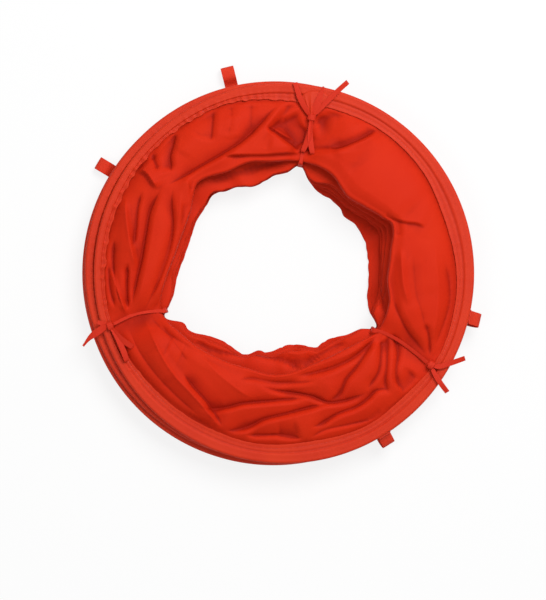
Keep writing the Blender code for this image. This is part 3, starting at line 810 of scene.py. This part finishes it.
def casing_shape(hoop):
    """Places on a casing's tape: columns round the ring by the points of its section."""
    degrees = ring_degrees(CASING_COLUMNS)
    section, puckered = casing_section()
    away, level = section.T
    seed = 40 + hoop
    pleats = np.maximum(pleat_train(seed, *PUCKER_PLEATS, degrees) - 0.15, -0.2)
    slow = np.sin(np.radians(degrees * 3 + 50 * hoop)) + 0.6 * np.sin(np.radians(degrees * 7 + 120 * hoop))
    strength = round_outline(PUCKERS, degrees) if hoop == TOP else HIDDEN_PUCKERS + 0.0 * degrees
    scallop = SCALLOP_LEAST + SCALLOP * strength * pleat_train(seed + 20, *SCALLOP_PLEATS, degrees)
    out = away - flange_extra(hoop, degrees)[:, None] * smoothstep(-FLANGE_ROOT, -FLANGE_REACH, away)
    edge = smoothstep(-FLANGE_REACH * 0.6, -FLANGE_REACH, away)
    out -= edge * (scallop + SCALLOP_WAVE * slow)[:, None]
    place, width, depth = CHANNEL_SEAM
    height = level * (1.0 - STITCH_SINK * bell(away + FLANGE_REACH - STITCH_INSET, STITCH_DENT))
    height = height - np.sign(level) * depth * bell(away + place, width)
    height = height + np.sign(level) * puckered * (strength * pleats + SLOW_WAVE * slow)[:, None]
    if hoop == 0:
        height = np.maximum(height, STITCH_SIZE[0] - CASING_HALF)
    places = HOOPS[hoop] + outwards(degrees)[:, None, :] * (WIRE_RING + out)[..., None]
    places[..., 2] += height
    return places


def make_casing(hoop, material, tree):
    """A casing with its two rows of stitches."""
    shape = casing_shape(hoop)
    body, name = f"hoop_{hoop + 1}", f"casing_{hoop + 1}"
    obj = lattice(name, shape, round_columns=True, flip=True)
    mark_painted_crease_shade(obj, shape)
    thicken(obj, CASING_TAPE, -1.0)
    place_piece(obj, body, f"{body}_casing", material)
    edge = casing_section()[0][:FLANGE_ROWS, 0] + FLANGE_REACH
    row = int(np.argmin(np.abs(edge - STITCH_INSET)))
    rise = UP * STITCH_SIZE[0] * STITCH_RISE
    sewn = stitch_rows(f"{name}_stitches", tree, [shape[:, row] + rise, shape[:, -1 - row] - rise])
    place_piece(sewn, body)


def stitch_tree(material):
    """Geometry nodes: a row of stitches along a path."""
    tree = bpy.data.node_groups.new("Stitches", "GeometryNodeTree")
    socket = tree.interface.new_socket
    socket("Geometry", in_out="INPUT", socket_type="NodeSocketGeometry")
    socket("Geometry", in_out="OUTPUT", socket_type="NodeSocketGeometry")
    for name in ("Pitch", "Thread", "Length"):
        socket(name, in_out="INPUT", socket_type="NodeSocketFloat")

    def node(kind, settings=None, **inputs):
        made = tree.nodes.new(kind)
        for key, value in (settings or {}).items():
            setattr(made, key, value)
        for key, value in inputs.items():
            made.inputs[key].default_value = value
        return made

    given, result = node("NodeGroupInput"), node("NodeGroupOutput")
    curve = node("GeometryNodeMeshToCurve")
    steps = node("GeometryNodeResampleCurve", {"mode": "LENGTH"})
    tangent = node("GeometryNodeInputTangent")
    turn = node("FunctionNodeAlignRotationToVector", {"axis": "Z"})
    stitch = node("GeometryNodeMeshUVSphere", Segments=5, Rings=3, Radius=1.0)
    size = node("ShaderNodeCombineXYZ")
    place = node("GeometryNodeInstanceOnPoints")
    real = node("GeometryNodeRealizeInstances")
    finish = node("GeometryNodeSetMaterial", Material=material)
    for first, output, second, entry in (
        (given, "Geometry", curve, "Mesh"),
        (curve, "Curve", steps, "Curve"),
        (given, "Pitch", steps, "Length"),
        (steps, "Curve", place, "Points"),
        (tangent, "Tangent", turn, "Vector"),
        (turn, "Rotation", place, "Rotation"),
        (stitch, "Mesh", place, "Instance"),
        (given, "Thread", size, "X"),
        (given, "Thread", size, "Y"),
        (given, "Length", size, "Z"),
        (size, "Vector", place, "Scale"),
        (place, "Instances", real, "Geometry"),
        (real, "Geometry", finish, "Geometry"),
        (finish, "Geometry", result, "Geometry"),
    ):
        tree.links.new(first.outputs[output], second.inputs[entry])
    return tree


def stitch_rows(name, tree, paths):
    """One plain mesh of stitches along each closed path."""
    verts, edges = [], []
    for path in paths:
        start, count = len(verts), len(path)
        verts += [tuple(point) for point in path]
        edges += [(start + n, start + (n + 1) % count) for n in range(count)]
    mesh = bpy.data.meshes.new(name)
    mesh.from_pydata(verts, edges, [])
    guide = add_object(name + "_guide", mesh)
    sew = guide.modifiers.new("Stitches", "NODES")
    sew.node_group = tree
    sizes = {"Pitch": STITCH_PITCH, "Thread": STITCH_SIZE[0], "Length": STITCH_SIZE[1] / 2}
    for item in tree.interface.items_tree:
        if item.name in sizes:
            sew[item.identifier] = sizes[item.name]
    bpy.context.view_layer.update()
    graph = bpy.context.evaluated_depsgraph_get()
    made = bpy.data.meshes.new_from_object(guide.evaluated_get(graph))
    made.name = name
    bpy.data.objects.remove(guide, do_unlink=True)
    return add_object(name, made)


# Cloth spans


def fold_level(hoop):
    return FOLD_FLOOR + hoop * FOLD_PITCH


def small_pleats(degrees, count, phase):
    """Gathers of hidden cloth: uneven waves round the ring, from 0 to 1."""
    drift = 0.9 * np.sin(np.radians(degrees * 5 + 70 * phase))
    drift = drift + 0.6 * np.sin(np.radians(degrees * 11 + 31 * phase))
    return 0.5 + 0.5 * np.sin(np.radians(degrees * count) + drift + phase)


def lower_span_shape(span):
    """A hidden span: in from the lower hoop, round its fold and out to the upper hoop."""
    degrees = ring_degrees(LOWER_COLUMNS)
    free = 1.0 - near_tie(degrees, TIE_PINCH)
    wave = np.sin(np.radians(2 * degrees) + 1.7 * span)
    hole, front = round_outline(HOLE_OUTLINE, degrees), round_outline(FRONT_OUTLINE, degrees)
    climb = (span / (SPAN_COUNT - 1)) ** 0.4 * round_outline(LOWER_CLIMB, degrees)
    points = POINT_DEPTH * (pleat_train(60 + span, *POINT_PLEATS, degrees) - 0.4)
    tip = hole + free * ((front - hole) * climb + LOWER_SETBACK * (0.5 + 0.5 * wave) + points)
    lower, upper = HOOPS[span][2] + CLOTH_OFFSET, HOOPS[span + 1][2] - CLOTH_OFFSET
    low, high = fold_level(span) + FOLD_SPACE, fold_level(span + 1) - FOLD_SPACE
    middle, half = (low + high) / 2, (high - low) / 2
    pleats = small_pleats(degrees, LOWER_PLEATS, span)
    folds = EDGE_FOLD_DEPTH * small_pleats(degrees, EDGE_FOLDS, span + 3.0)
    shares = np.linspace(0.0, 1.0, LOWER_ROWS) ** LOWER_CROWDING

    def ply(hoop, level, end, pleats, folds):
        """Rows from a hoop's seam to the fold: radii, heights without their pleats, and the pleats."""
        inner = reach(hoop, degrees, CLOTH_INNER)
        for share in shares:
            lift = pleats * LOWER_PLEAT_DEPTH * swell(0.0, 0.15, 0.55, 0.8, share)
            lift = lift + folds * smoothstep(0.5, 0.9, share)
            yield inner + (tip + FOLD_NOSE - inner) * share, level + (end - level) * share, lift

    rows = [(reach(span, degrees, CLOTH_OUTER), lower + 0 * degrees)]
    rows += [(out, level + lift) for out, level, lift in ply(span, lower, low, pleats, folds)]
    for turn in np.linspace(0.0, math.pi, NOSE_ROWS + 2)[1:-1]:
        lift = folds - EDGE_FOLD_DEPTH * (1.0 - math.cos(turn)) / 2
        rows.append((tip + FOLD_NOSE * (1.0 - math.sin(turn)), middle - half * math.cos(turn) + lift))
    above = [*ply(span + 1, upper, high, 1.0 - pleats, EDGE_FOLD_DEPTH - folds)]
    rows += [(out, level - lift) for out, level, lift in reversed(above)]
    rows.append((reach(span + 1, degrees, CLOTH_OUTER), upper + 0 * degrees))
    places = ring_places(degrees, rows)
    if span > 1:
        inside = smoothstep(0.1, 0.3, np.array([0.0, *shares, *np.ones(NOSE_ROWS), *shares[::-1], 0.0]))
        places[..., 2] += (span - 1) / (SPAN_COUNT - 2) * fold_heights(places, LOWER_FOLDS) * inside
    return places


def line_distance(flat, line):
    """Distance of places from a line, how far along it they are, from 0 to 1, and the side, 1 on its left."""
    steps = np.diff(line, axis=0)
    lengths = np.linalg.norm(steps, axis=1)
    run = np.concatenate([[0.0], np.cumsum(lengths)])
    nearest, share, side = np.full(len(flat), np.inf), np.zeros(len(flat)), np.zeros(len(flat))
    for start, step, length, before in zip(line, steps, lengths, run):
        offset = flat - start
        along = np.clip(offset @ step / length**2, 0.0, 1.0)
        distance = np.linalg.norm(offset - along[:, None] * step, axis=1)
        closer = distance < nearest
        nearest = np.where(closer, distance, nearest)
        share = np.where(closer, (before + along * length) / run[-1], share)
        side = np.where(closer, np.sign(step[0] * offset[:, 1] - step[1] * offset[:, 0]), side)
    return nearest, share, side


def fold_heights(places, sharp, rounded=(), steps=()):
    """Height that drawn folds give each place on a cloth, in metres."""
    flat = places[..., :2].reshape(-1, 2)
    knots = [from_photo(knot[:2]) for knot in KNOTS.values()]
    away = np.min([np.linalg.norm(flat - knot, axis=1) for knot in knots], axis=0) / PHOTO_PIXEL
    narrow = np.clip(away / TIE_NARROWING, TIE_NARROWEST, 1.0)
    total = np.zeros(len(flat))

    def lay(points):
        nearest, share, side = line_distance(flat, through(from_photo(points), FOLD_STEPS))
        fade = smoothstep(0.0, FOLD_FADE, share) * smoothstep(0.0, FOLD_FADE, 1.0 - share)
        return nearest / PHOTO_PIXEL, fade * MILLIMETRE, side

    for height, left, right, *points in sharp:
        nearest, fade, side = lay(points)
        width = np.maximum(np.where(side > 0.0, left, right) * narrow, FOLD_SHARPEST)
        facet = np.clip(1.0 - nearest / (FACET * width), 0.0, None) ** FACET_BEND
        total += SHARP_GAIN * height * fade * narrow**0.5 * facet
        deep = min(max(abs(height) - GROOVE_START, 0.0), GROOVE_MOST)
        total += GROOVE * np.sign(height) * deep * fade * bell(nearest, GROOVE_WIDTH)
    for height, width, *points in rounded:
        nearest, fade, side = lay(points)
        total += ROUND_GAIN * height * fade * bell(nearest, width * narrow)
    for height, width, *points in steps:
        nearest, fade, side = lay(points)
        flap = np.clip(side * nearest / FLAP_BLEND, -1.0, 1.0) * np.exp(-nearest / width)
        total += SHARP_GAIN / 2 * height * fade * flap
    return total.reshape(places.shape[:2])


def wrinkles(places, seed, spacing, count):
    """Small crossing creases, strong in some patches and absent in others: a height from 0 to about 1."""
    rng = np.random.default_rng(seed)
    x, y = places[..., 0], places[..., 1]
    total = np.zeros_like(x)
    for _ in range(count):
        turns, phases = rng.uniform(0.0, math.tau, 3), rng.uniform(0.0, math.tau, 3)
        length = spacing * rng.uniform(0.6, 1.6)
        along, slow, bending = [x * math.cos(turn) + y * math.sin(turn) for turn in turns]
        bend = 1.4 * np.sin(bending * math.tau / (4 * length) + phases[2])
        wave = np.sin(along * math.pi / length + phases[0] + bend)
        patch = np.sin(slow * math.tau / (6 * spacing) + phases[1])
        total += (1.0 - np.abs(wave)) ** 2 * np.clip(patch, 0.0, 1.0)
    return total / math.sqrt(count)


def front_span_shape():
    """The front span: in from hoop 6, round the fold, and out over the top to hoop 7, billowed and folded."""
    degrees = ring_degrees(FRONT_COLUMNS)
    span = SPAN_COUNT - 1
    tip = round_outline(FRONT_OUTLINE, degrees)
    pinched_in = near_tie(degrees, TIE_PINCH)
    puff = PUFF_HEIGHT * (1.0 - near_tie(degrees, PUFF_START))
    lower, upper = HOOPS[span][2] + CLOTH_OFFSET, HOOPS[TOP][2] - CLOTH_OFFSET
    low = fold_level(span) + FOLD_SPACE
    high = fold_level(TOP) - FOLD_SPACE + PUFF_NOSE * puff
    pleats = FRONT_PLEAT_DEPTH * small_pleats(degrees, FRONT_PLEATS, span) * (1.0 - pinched_in)
    rows = [(reach(span, degrees, CLOTH_OUTER), lower + 0 * degrees)]
    inner = reach(span, degrees, CLOTH_INNER)
    for share in np.linspace(0.0, 1.0, FRONT_INNER_ROWS):
        out = inner + (tip + FOLD_NOSE + NOSE_UNDERCUT - inner) * share
        rows.append((out, lower + (low - lower) * share + pleats * swell(0.0, 0.2, 0.8, 1.0, share)))
    for turn in np.linspace(0.0, math.pi, FRONT_NOSE_ROWS + 2)[1:-1]:
        out = tip + FOLD_NOSE * (1.0 - math.sin(turn)) + NOSE_UNDERCUT * (0.5 + 0.5 * math.cos(turn))
        rows.append((out, (low + high) / 2 - (high - low) / 2 * math.cos(turn)))
    leave = reach(TOP, degrees, CLOTH_INNER) - flange_extra(TOP, degrees)
    shares = 1.0 - np.linspace(0.0, 1.0, FRONT_ROWS) ** FRONT_CROWDING
    for share in shares:
        last = smoothstep(0.8, 1.0, share)
        billow = (1.0 - np.exp(-share / PUFF_RISE)) * (1.0 - (1.0 - PUFF_NOSE) * last)
        drop = (high - upper - PUFF_NOSE * puff) * last
        rows.append((leave + (tip + FOLD_NOSE - leave) * share, upper + puff * billow + drop))
    rows.append((reach(TOP, degrees, CLOTH_OUTER), upper + 0 * degrees))
    places = ring_places(degrees, rows)
    front = places[:, -FRONT_ROWS - 1 : -1]
    gathers = GATHER_HEIGHT * pleat_train(46, *SEAM_GATHERS, degrees)[:, None]
    folds = fold_heights(front, SHARP_FOLDS, ROUND_FOLDS, STEP_FOLDS)
    sewn = smoothstep(0.0, 0.10, shares)
    front[..., 2] += folds * sewn * (1.0 - 0.6 * smoothstep(0.9, 1.0, shares))
    front[..., 2] += WRINKLE_HEIGHT * wrinkles(front, 5, WRINKLE_SPACING, WRINKLE_COUNT) * sewn
    floor = upper - POCKET_DEPTH * pinched_in[:, None] * swell(0.02, 0.2, 0.75, 0.9, shares)
    above = front[..., 2] - floor
    above += gathers * np.exp(-shares / SEAM_REACH) * smoothstep(0.0, SEAM_REACH, shares)
    front[..., 2] = floor + LEAST_RISE * np.logaddexp(0.0, above / LEAST_RISE)
    return places


def make_span(span, material):
    shape = front_span_shape() if span == SPAN_COUNT - 1 else lower_span_shape(span)
    obj = lattice(f"span_{span + 1}_cloth", shape, round_columns=True)
    mark_painted_crease_shade(obj, shape)
    obj.data.materials.append(material)
    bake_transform(obj)
    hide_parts(f"span_{span + 1}_fabric")


# Ties and peg loops


def back_tape(name, degrees, rise):
    """From the seam under hoop 1, in along the floor and up through the hole."""
    seam = float(reach(0, degrees, FLANGE_EDGE)) + TIE_SEAM
    inner = rise + TAPE_BEND
    points = [(seam, TIE_FLOOR), (seam - 0.02, TIE_FLOOR), ((seam + inner) / 2, TIE_FLOOR + 0.0004)]
    points += [(inner + 0.006, TIE_FLOOR), (inner, TIE_FLOOR + 0.0004), (rise + 0.0008, TIE_FLOOR + 0.0028)]
    points += [(rise, TIE_FLOOR + 0.008), (rise - 0.0004, 0.026), (rise, TIE_PART)]
    return tape(name, through(plane_line(degrees, points), 8), across=sideways(degrees))


def front_tape(name, tie, degrees, rise):
    """Up over the fold's edge and out along the valley in the front cloth to the knot."""
    start = [(rise, TIE_PART + 0.0004), (rise, 0.0550), (rise + 0.0003, TAPE_LEVEL - 0.0030)]
    start += [(rise + 0.0022, TAPE_LEVEL - 0.0006), (rise + TAPE_BEND + 0.0015, TAPE_LEVEL)]
    line = through(np.vstack([plane_line(degrees, start), photo_line(FRONT_TAPES[tie], TAPE_LEVEL)]), 8)
    width = TIE_WIDTH * (1.0 - FRONT_SQUEEZE * smoothstep(0.25, 0.6, np.linspace(0.0, 1.0, len(line))))
    return tape(name, line, across=sideways(degrees), width=width, twist=(0.0, 24.0))


def knot_wrap(name, middle, degrees, size, width):
    """A turn of tape round a knot."""
    turn = np.linspace(0.0, math.tau, 25)[:-1, None]
    line = middle + sideways(degrees) * size[0] * np.cos(turn) + UP * size[1] * np.sin(turn)
    return tape(name, line, across=outwards(degrees), width=width, closed=True)


def pinched(count, tip, middle):
    """Widths of a tie tape that is squeezed where it leaves a knot, up to its other end."""
    share = np.linspace(0.0, 1.0, count)
    width = 0.6 + (middle - 0.6) * smoothstep(0.0, 0.35, share)
    return TIE_WIDTH * (width + (tip - middle) * smoothstep(0.5, 1.0, share))


def bow_loop(name, middle, tip, bend, tilt):
    """A loop of a bow, its plies one over the other."""
    along = np.array([*from_photo(tip), middle[2]]) - middle
    side = np.array((-along[1], along[0], 0.0)) / np.linalg.norm(along)
    share, lift = np.array(BOW_PLIES).T[..., None]
    line = through(middle + along * share + side * bend * 4 * share * (1 - share) + UP * lift, 7)
    width = TIE_WIDTH * (0.65 + 0.45 * np.abs(np.sin(np.linspace(0.0, math.tau, len(line)))))
    return tape(name, line, across=side, width=width, twist=(tilt, -tilt))


def bow(name, tie, degrees):
    """The knot with its free ends, its loops and the short tape that holds it to the top hoop's seam."""
    x, y, level = KNOTS[tie]
    middle = np.array([*from_photo((x, y)), level])
    pieces = [
        knot_wrap(f"{name}_{part}", middle, degrees + turn, np.array(KNOT_WRAP) * size, KNOT_TAPE * width)
        for part, turn, size, width in KNOT_TURNS
    ]
    for number, (tip, *points) in enumerate(TAILS[tie]):
        line = through(photo_line(points, level), 8)
        width = pinched(len(line), tip, 1.0 if tip > 0.5 else 1.35)
        pieces.append(tape(f"{name}_tail_{number}", line, width=width, twist=(-24.0, 22.0)))
    for number, (tip, bend, tilt) in enumerate(BOW_LOOPS[tie]):
        pieces.append(bow_loop(f"{name}_loop_{number}", middle, tip, bend, tilt))
    return joined(name, pieces)


def make_ties(material):
    for tie, (degrees, rise) in TIES.items():
        name = f"tie_{tie}"
        back = back_tape(f"{name}_back", degrees, rise)
        place_piece(back, "hoop_1", f"{name}_back_tape", material)
        front = front_tape(f"{name}_front", tie, degrees, rise)
        place_piece(front, "hoop_7", f"{name}_front_tape", material)
        place_piece(bow(f"{name}_knot", tie, degrees), "hoop_7", f"{name}_bow", material)


def fan_shape():
    """Casing cloth that the top tie's knot gathers: pleats that run together from the rim to the knot."""
    across = np.linspace(0.0, 1.0, FAN_COLUMNS)
    down = np.linspace(0.0, 1.0, FAN_ROWS)

    def edge(points):
        line = through(from_photo(points), 8)
        run = np.linspace(0.0, 1.0, len(line))
        return np.column_stack([np.interp(across, run, line[:, axis]) for axis in (0, 1)])

    rim, neck = edge(FAN_EDGE), edge(FAN_NECK)
    flat = rim[:, None, :] + (neck - rim)[:, None, :] * down[None, :, None] ** 0.85
    pleat = np.abs(np.sin(math.pi * (FAN_PLEATS * across + 0.25 * np.sin(7.0 * across))))[:, None]
    level = FAN_LEVEL + FAN_RISE * down**2 - FAN_DROOP * (2.0 * across[:, None] - 1.0) ** 2
    height = level + FAN_PLEAT_DEPTH * (1.0 - pleat) * smoothstep(-0.2, 0.6, down)
    return np.dstack([flat, height])


def make_fan(material):
    shape = fan_shape()
    obj = lattice("tie_top_fan", shape, flip=True)
    mark_painted_crease_shade(obj, shape)
    thicken(obj, CASING_TAPE, 0.0)
    place_piece(obj, "hoop_7", material=material)


def loop_frame(body, degrees, droop):
    """Corner of the casing that a peg loop is sewn to, and the ways along, out from and across the loop."""
    corner = next(joint["pos_m"] for joint in frame["joints"] if joint["child"] == body)
    out = outwards(degrees)
    along = out * math.cos(droop) - UP * math.sin(droop)
    away = out * math.sin(droop) + UP * math.cos(droop)
    return np.array(corner), along, away, sideways(degrees)


def make_peg_loops(material, tree):
    for name, (degrees, lean, full) in LOOPS.items():
        body = f"peg_loop_{name}"
        droop = FRONT_DROOP if name.startswith("front") else BACK_DROOP
        corner, along, away, across = loop_frame(body, degrees, droop)
        line = []
        for x, y in LOOP_LINE:
            fuller = full if y > LOOP_SEWN_LEVEL else 1.0
            line.append(corner + along * x + away * y * fuller + across * lean * x / LOOP_TIP)
        strap = tape(f"loop_{name}", through(line, 7), across=across, width=LOOP_WIDTH, thickness=LOOP_PLY)
        place_piece(strap, body, body, material)
        top = corner + away * (LOOP_LINE[-1][1] + LOOP_PLY / 2 + STITCH_SIZE[0] * LOOP_STITCH_RISE)
        box = [(LOOP_BOX[0], -1), (LOOP_SEAM, -1), (LOOP_SEAM, 1), (LOOP_BOX[0], 1)]
        path = [top + along * x + across * side * LOOP_BOX[1] for x, side in box]
        place_piece(stitch_rows(f"loop_{name}_stitches", tree, [path]), body)


# Studio


def make_floor():
    """A pale floor that shows white to the camera and keeps the shadow."""
    mesh = bpy.data.meshes.new("floor")
    corners = [(x * FLOOR_HALF, y * FLOOR_HALF, 0) for x, y in ((-1, -1), (1, -1), (1, 1), (-1, 1))]
    mesh.from_pydata(corners, [], [(0, 1, 2, 3)])
    floor = add_object("floor", mesh)
    look = Look("pale_floor")
    look.set(Base_Color=FLOOR_GREY, Roughness=0.9, Specular_IOR_Level=0.1)
    path = look.tree.nodes.new("ShaderNodeLightPath")
    camera, glossy, through_glass = [
        Field(look, path.outputs[f"Is {kind} Ray"]) for kind in ("Camera", "Glossy", "Transmission")
    ]
    share = (camera + glossy + through_glass) * FLOOR_GLOW
    share = look.node("Math", {"operation": "MINIMUM"}, {0: share, 1: FLOOR_GLOW})
    glow = look.node("Emission", None, {"Color": (1.0, 1.0, 1.0, 1.0), "Strength": 1.0})
    plain = Field(look, look.shader.outputs[0])
    both = look.node("MixShader", None, {0: share, 1: plain, 2: glow})
    look.put(look.tree.nodes["Material Output"].inputs["Surface"], both)
    mesh.materials.append(look.material)


def make_world():
    world = bpy.data.worlds.new("studio")
    bpy.context.scene.world = world
    world.use_nodes = True
    tree = world.node_tree
    back = tree.nodes["Background"]
    back.inputs["Color"].default_value = (1.0, 1.0, 1.0, 1.0)
    path = tree.nodes.new("ShaderNodeLightPath")
    pick = tree.nodes.new("ShaderNodeMix")
    pick.inputs[2].default_value = ROOM_LIGHT
    pick.inputs[3].default_value = 1.0
    tree.links.new(path.outputs["Is Camera Ray"], pick.inputs[0])
    tree.links.new(pick.outputs[0], back.inputs["Strength"])


def add_lamp(name, place, size, power):
    data = bpy.data.lights.new(name, "AREA")
    data.shape, data.size, data.energy = "DISK", size, power
    lamp = add_object(name, data)
    lamp.location = place
    lamp.rotation_euler = (Vector(LAMP_TARGET) - Vector(place)).to_track_quat("-Z", "Y").to_euler()


def make_camera():
    data = bpy.data.cameras.new("camera")
    camera = add_object("camera", data)
    bpy.context.scene.camera = camera
    middle = from_photo((PHOTO_SIZE[0] / 2, PHOTO_SIZE[1] / 2))
    camera.location = (middle[0], middle[1], HOOPS[TOP][2] + CAMERA_DISTANCE)
    data.lens = data.sensor_width * CAMERA_DISTANCE / (PHOTO_SIZE[1] * PHOTO_PIXEL)
    data.clip_end = 50.0


def main():
    nylon, casing_tape = nylon_look(), casing_look()
    tree = stitch_tree(thread_look())
    steel = metal_look("spring_steel", STEEL, 260.0, stain=20.0, rough=(0.26, 0.15), relief=(0.0001, 0.3))
    zinc = metal_look("ferrule_zinc", ZINC, 400.0, stain=None, rough=(0.32, 0.20), relief=(0.0002, 0.4))
    for hoop in range(HOOP_COUNT):
        make_casing(hoop, casing_tape, tree)
        for part, metal in (("wire", steel), ("ferrule", zinc)):
            node = frame["nodes"][f"hoop_{hoop + 1}_{part}"]
            node.data.materials.clear()
            node.data.materials.append(metal)
    for span in range(SPAN_COUNT):
        make_span(span, nylon)
    make_ties(ribbed_look("tie_tape_weave", TAPE_RED, pitch=0.0009, depth=0.00012))
    make_fan(casing_tape)
    make_peg_loops(ribbed_look("webbing_weave", WEBBING_RED, pitch=0.0016, depth=0.0003), tree)
    make_floor()
    make_world()
    for lamp in LAMPS:
        add_lamp(*lamp)
    make_camera()
    bpy.context.scene.view_settings.view_transform = "Standard"


main()
